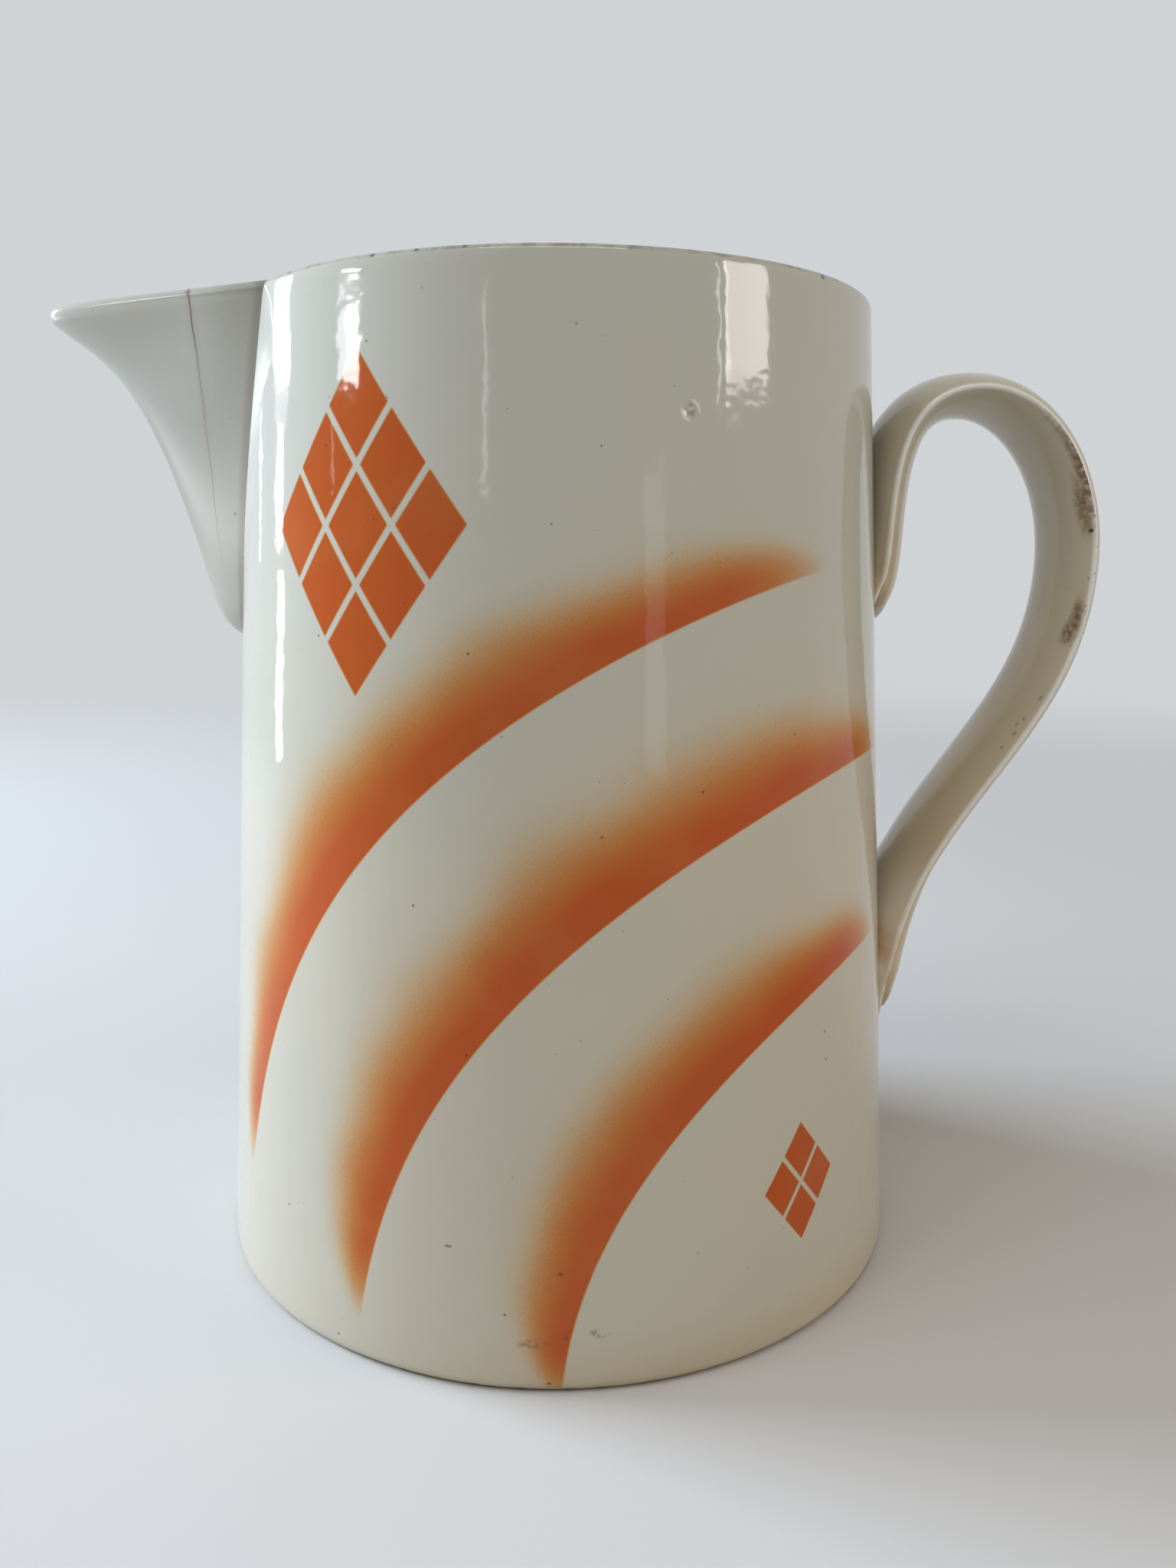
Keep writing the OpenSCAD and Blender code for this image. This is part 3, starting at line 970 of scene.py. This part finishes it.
def makeSpout():
    top = body["height"]
    footZ = top - spout["depth"]
    bellyZ = footZ + spout["bellyHeight"]
    edge = body["lipEdge"]
    tipRadius = body["rimRadius"] + spout["reach"]
    half = spout["width"] / 2
    channelHalf = half - spout["channelSide"] * spout["wall"]
    belly = Vector((wallRadius(bellyZ) + spout["bellyOut"], bellyZ))
    foot = Vector((wallRadius(footZ), footZ))
    pull = spout["bellyPull"] * spout["bellyHeight"]
    lowSpan = (foot, foot + polar(pull, 75), belly - polar(pull, spout["keelLean"]), belly)
    lowLine = [bezier(lowSpan, i / 14) for i in range(1, 14)]

    def seamHalf(z, lowest, topHalf):
        return topHalf * math.sqrt((z - lowest) / (top - lowest))

    rows = [spoutSection(p[0], p[1], seamHalf(p[1], footZ, half))
            for p in lowLine + nosed(keelLine(bellyZ, 0), edge)]
    lipSteps = spout["lipSteps"]
    for i in range(lipSteps + 1):
        a = math.pi / 2 * i / lipSteps
        inset = edge * (1 - math.cos(a))
        rows.append(spoutSection(tipRadius - inset, top - edge * (1 - math.sin(a)), half - inset))
    inner = []
    channelLow = bellyZ + spout["wall"] / 2
    channelFoot = channelLow - spout["bellyOut"] + spout["keelThickness"]
    for p in keelLine(channelLow, spout["keelThickness"]):
        inner.append(spoutSection(p[0], p[1], seamHalf(p[1], channelFoot, channelHalf)))
    for i in range(lipSteps + 1):
        a = math.pi / 2 * i / lipSteps
        flare = edge * (1 - math.cos(a))
        inner.append(spoutSection(tipRadius - spout["keelThickness"] + flare,
                                  top - edge * (1 - math.sin(a)), channelHalf + flare))
    sunk = spout["sunk"]
    rows.insert(0, [(x + sunk, y, z - sunk / 4) for x, y, z in rows[0]])
    rows += inner[::-1]
    rows.append([(x + sunk, y, z - sunk) for x, y, z in inner[0]])
    points = [p for row in rows for p in row]
    width = len(rows[0])
    count = len(rows)
    faces = []
    for i in range(count):
        k = (i + 1) % count
        for j in range(width - 1):
            faces.append((i * width + j, k * width + j, k * width + j + 1, i * width + j + 1))
    faces.append(tuple(i * width for i in range(count - 1, -1, -1)))
    faces.append(tuple(i * width + width - 1 for i in range(count)))
    material = plainMaterial(
        "creamGlazeSpout", spoutStainsAndPaintedShade, tint=spout["tint"], dulled=spout["dulled"], ripple=spout["ripple"])
    return trimmed(meshPiece("beakSpout", points, faces, material), body["wall"] / 2)


floor = {
    "thickness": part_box("base_disc")[1][2],
    "corner": 6 * mm,
    "dish": 0.9 * mm,
    "dishRadius": 63 * mm,
    "dishEdge": 4 * mm,
    "lap": 0.3 * mm,             # how far its sweep runs into the wall
    "bareBelow": 0.4 * mm,       # the foot ring is bare clay and the dish is glazed
    "columns": 180,
}


def makeFloor():
    # turned disc: a glazed top that sweeps up into the wall, and a shallow dish underneath
    thick, corner = floor["thickness"], floor["corner"]
    edge = boreRadius(0)
    profile = [(0, floor["dish"])]
    for i in range(9):
        t = i / 8
        profile.append((floor["dishRadius"] + floor["dishEdge"] * t,
                        floor["dish"] * (1 - t * t * (3 - 2 * t))))
    profile += [(edge - 0.5 * mm, 0), (edge, 0)]
    profile.append((boreRadius(thick), thick))
    high = thick + corner
    steps = 10
    for i in range(steps + 1):
        a = math.pi / 2 * i / steps
        profile.append((boreRadius(high) + floor["lap"] - corner * math.sin(a),
                        high - corner * math.sin(a) * math.tan(a / 2) if i else high))
    profile.append((0, thick))
    columns = floor["columns"]
    points = [(0, 0, profile[0][1])]
    for r, z in profile[1:-1]:
        for j in range(columns):
            a = 2 * math.pi * j / columns
            points.append((r * math.cos(a), r * math.sin(a), z))
    points.append((0, 0, profile[-1][1]))
    last = len(points) - 1
    ringCount = len(profile) - 2
    faces = []
    for j in range(columns):
        k = (j + 1) % columns
        faces.append((0, 1 + k, 1 + j))
        for i in range(ringCount - 1):
            a, b = 1 + i * columns, 1 + (i + 1) * columns
            faces.append((a + j, a + k, b + k, b + j))
        a = 1 + (ringCount - 1) * columns
        faces.append((a + j, a + k, last))
    material = plainMaterial("creamGlazeFloor", bareBelow=floor["bareBelow"] / mm)
    return meshPiece("lutedFloor", points, faces, material)


def oneMaterial(mesh):
    # a single slot for the whole piece, so that the hidden faces of a cut are glazed too
    glazed = next(material for material in mesh.materials if material)
    mesh.materials.clear()
    mesh.materials.append(glazed)


pieces = {
    "body_wall": (makeWall, "glaze_body"),
    "base_disc": (makeFloor, "glaze_floor"),
    "spout": (makeSpout, "glaze_spout"),
    "handle": (makeHandle, "glaze_handle"),
}
for node, (make, slotName) in pieces.items():
    piece = make()
    oneMaterial(piece.data)
    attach(piece, "root")
    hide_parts(node)
    triangles = sum(len(p.vertices) - 2 for p in piece.data.polygons)
    print(piece.name, "made,", triangles, "triangles")


# Floor, lamps and background. Lengths are in metres.

stage = {
    "floorSize": 12.0,
    "floorColour": linear(204, 201, 197),
    "backColour": linear(208, 211, 214),
    "ambientColour": (1.0, 0.985, 0.96, 1.0),
    "ambient": 0.25,
    "aimHeight": 140 * mm,
    "shadowReach": 0.25,
    "fadeReach": 1.3,
}
# Each lamp's direction is given round and up from the body's middle, in degrees. The soft ones
# light the piece; the others are window panes that only show in its gloss.
lamps = [
    {"name": "softDaylight", "round": 162, "up": 20, "away": 1.8, "size": (0.9, 0.9), "power": 58,
     "colour": (0.66, 0.81, 1.0), "soft": True},
    {"name": "softSky", "round": 208, "up": 48, "away": 1.5, "size": (0.8, 0.8), "power": 6.3,
     "colour": (0.86, 0.93, 1.0), "soft": True},
    {"name": "softCeiling", "round": -98, "up": 58, "away": 1.5, "size": (0.9, 0.9), "power": 3.75,
     "colour": (1.0, 0.95, 0.88), "soft": True},
    {"name": "softDoor", "round": -15, "up": 20, "away": 1.5, "size": (0.7, 0.9), "power": 6.7,
     "colour": (1.0, 0.91, 0.82), "soft": True},
    {"name": "tallPaneTop", "round": 156.5, "up": 17, "away": 1.5, "size": (0.26, 0.28), "power": 5.2,
     "colour": (0.97, 0.99, 1.0)},
    {"name": "tallPaneBar", "round": 156.5, "up": 10.6, "away": 1.5, "size": (0.24, 0.058), "power": 0.075,
     "colour": (0.90, 0.90, 1.0)},
    {"name": "tallPaneMiddle", "round": 156.3, "up": 6.7, "away": 1.5, "size": (0.105, 0.14), "power": 1.0,
     "colour": (0.97, 0.99, 1.0)},
    {"name": "tallPaneFoot", "round": 159, "up": -2.4, "away": 1.0, "size": (0.07, 0.17), "power": 0.6,
     "colour": (0.93, 0.96, 1.0)},
    {"name": "shortPaneTop", "round": 193, "up": 19.3, "away": 1.5, "size": (0.24, 0.05), "power": 0.75,
     "colour": (0.97, 0.99, 1.0)},
    {"name": "shortPane", "round": 194.5, "up": 15.3, "away": 1.5, "size": (0.135, 0.105), "power": 1.15,
     "colour": (0.97, 0.99, 1.0)},
    {"name": "shortPaneSide", "round": 190, "up": 15.3, "away": 1.5, "size": (0.10, 0.105), "power": 0.36,
     "colour": (0.88, 0.87, 1.0)},
    {"name": "sashLine", "round": 140, "up": 7.0, "away": 1.5, "size": (0.035, 0.26), "power": 0.17,
     "colour": (0.97, 0.98, 1.0)},
    {"name": "shortPaneDrop", "round": 187, "up": 9.6, "away": 1.5, "size": (0.022, 0.08), "power": 0.03,
     "colour": (0.97, 0.98, 1.0)},
    {"name": "doorLine", "round": -36.9, "up": 18.5, "away": 1.5, "size": (0.016, 0.27), "power": 0.17,
     "colour": (0.97, 0.98, 0.95)},
    {"name": "doorEdge", "round": -33.6, "up": 18.8, "away": 1.45, "size": (0.018, 0.26), "power": 0.17,
     "colour": (1.0, 1.0, 1.0)},
    {"name": "pinkPanel", "round": -25.5, "up": 19, "away": 1.5, "size": (0.42, 0.28), "power": 4.0,
     "colour": (1.0, 0.90, 0.88)},
    {"name": "thinGap", "round": -115.7, "up": 14.2, "away": 1.5, "size": (0.026, 0.24), "power": 0.1,
     "colour": (1.0, 0.98, 0.95)},
    {"name": "paleWall", "round": -60.5, "up": 1.5, "away": 1.5, "size": (0.18, 0.50), "power": 0.3,
     "colour": (0.97, 0.96, 1.0)},
    {"name": "skylight", "round": -95, "up": 60, "away": 1.3, "size": (0.9, 0.12), "power": 4.2,
     "colour": (0.95, 0.98, 1.0)},
]


def seen(board):
    # 1 for what the camera sees directly, in gloss or through glass
    path = board.make("ShaderNodeLightPath", {}, {}, "Is Camera Ray")
    return path.most(path.other("Is Glossy Ray")).most(path.other("Is Transmission Ray"))


def addFloor():
    # away from the object the floor shows the background's colour, so it has no horizon
    half = stage["floorSize"] / 2
    mesh = bpy.data.meshes.new("studioFloor")
    corners = [(-half, -half, 0), (half, -half, 0), (half, half, 0), (-half, half, 0)]
    mesh.from_pydata(corners, [], [(0, 1, 2, 3)])
    ground = bpy.data.objects.new("studioFloor", mesh)
    scene.collection.objects.link(ground)
    material, board = newMaterial("studioFloor")
    shader = board.make("ShaderNodeBsdfPrincipled", {}, {
        "Base Color": stage["floorColour"], "Roughness": 0.9, "Specular IOR Level": 0.2})
    point, x, y, z = place(board)
    far = ((x * x + y * y).root() * mm).smooth(stage["shadowReach"], stage["fadeReach"])
    glow = board.make("ShaderNodeEmission", {}, {"Color": stage["backColour"], "Strength": 1.0})
    both = board.make("ShaderNodeMixShader", {}, {0: far * seen(board), 1: shader, 2: glow})
    board.make("ShaderNodeOutputMaterial", {}, {"Surface": both})
    mesh.materials.append(material)


def onlyDirect(data):
    # a pane shows in the gloss, but throws no patch of light from one piece on to the next
    data.use_nodes = True
    data.node_tree.nodes.clear()
    board = Board(data.node_tree)
    bounced = board.make("ShaderNodeLightPath", {}, {}, "Diffuse Depth") > 0.5
    glow = board.make("ShaderNodeEmission", {}, {"Strength": 1.0 - bounced})
    board.make("ShaderNodeOutputLight", {}, {"Surface": glow})


def addLamp(lamp):
    data = bpy.data.lights.new(lamp["name"], "AREA")
    data.shape = "RECTANGLE"
    data.size, data.size_y = lamp["size"]
    data.energy = lamp["power"]
    data.color = lamp["colour"]
    light = bpy.data.objects.new(lamp["name"], data)
    middle = Vector((0, 0, stage["aimHeight"]))
    around, up = math.radians(lamp["round"]), math.radians(lamp["up"])
    aim = Vector((math.cos(around) * math.cos(up), math.sin(around) * math.cos(up), math.sin(up)))
    light.location = middle + aim * lamp["away"]
    light.rotation_mode = "QUATERNION"
    light.rotation_quaternion = (-aim).to_track_quat("-Z", "Y")
    light.visible_camera = False
    light.visible_diffuse = lamp.get("soft", False)
    light.visible_glossy = not light.visible_diffuse
    if light.visible_glossy:
        onlyDirect(data)
    scene.collection.objects.link(light)


def addWorld():
    # the backdrop's colour where it is seen, and a faint even light on everything else
    world = bpy.data.worlds.new("studio")
    world.use_nodes = True
    scene.world = world
    tree = world.node_tree
    tree.nodes.clear()
    board = Board(tree)
    back = board.make("ShaderNodeBackground", {}, {"Color": stage["backColour"], "Strength": 1.0})
    light = board.make("ShaderNodeBackground", {}, {
        "Color": stage["ambientColour"], "Strength": stage["ambient"]})
    both = board.make("ShaderNodeMixShader", {}, {0: seen(board), 1: light, 2: back})
    board.make("ShaderNodeOutputWorld", {}, {"Surface": both})


addFloor()
for lamp in lamps:
    addLamp(lamp)
addWorld()
print("stage lit")
